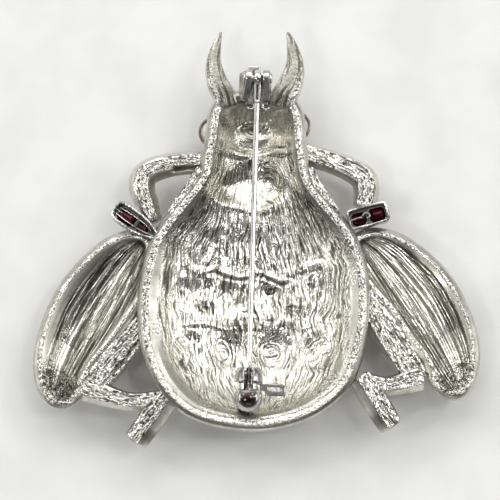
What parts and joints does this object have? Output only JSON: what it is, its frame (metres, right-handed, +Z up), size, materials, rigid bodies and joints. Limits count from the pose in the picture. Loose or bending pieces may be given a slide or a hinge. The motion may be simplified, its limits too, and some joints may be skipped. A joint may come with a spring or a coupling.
{
  "type": "insect brooch",
  "caption": "Hollow-backed insect brooch with open wings, horned head, bent legs with red stones, a hinged pin and a turning safety catch.",
  "frame": {"origin": "centre of the outline, on the surface that the domed front rests on", "axes": "+X towards the right wing as the back is seen, +Y from the tail to the horns, +Z up out of the hollow back"},
  "size_m": [0.0564, 0.0534, 0.0104],
  "materials": {
    "casting": "bright plated casting, striated and granular on its hollow side",
    "findings": "polished plated steel",
    "eye_stone": "smooth, pale and milky",
    "red_stone": "faceted, dark red over dark foil"
  },
  "bodies": {
    "casting": {"casting": "casting", "eye_left": "eye_stone", "eye_right": "eye_stone", "stone_left_outer": "red_stone", "stone_left_inner": "red_stone", "stone_right_outer": "red_stone", "stone_right_inner": "red_stone", "hinge_rivet": "findings"},
    "pin": {"pin_stem": "findings"},
    "catch_collar": {"catch_collar": "findings"}
  },
  "joints": [
    {"name": "pin_hinge", "type": "hinge", "parent": "casting", "child": "pin", "pos_m": [0.00013, 0.02016, 0.00861], "axis": [-0.9996, 0.0297, 0], "range_deg": [0, 95]},
    {"name": "catch_roll", "type": "hinge", "parent": "casting", "child": "catch_collar", "pos_m": [-0.00102, -0.01844, 0.00861], "axis": [-0.0297, -0.9996, 0], "range_deg": [0, 120]}
  ]
}
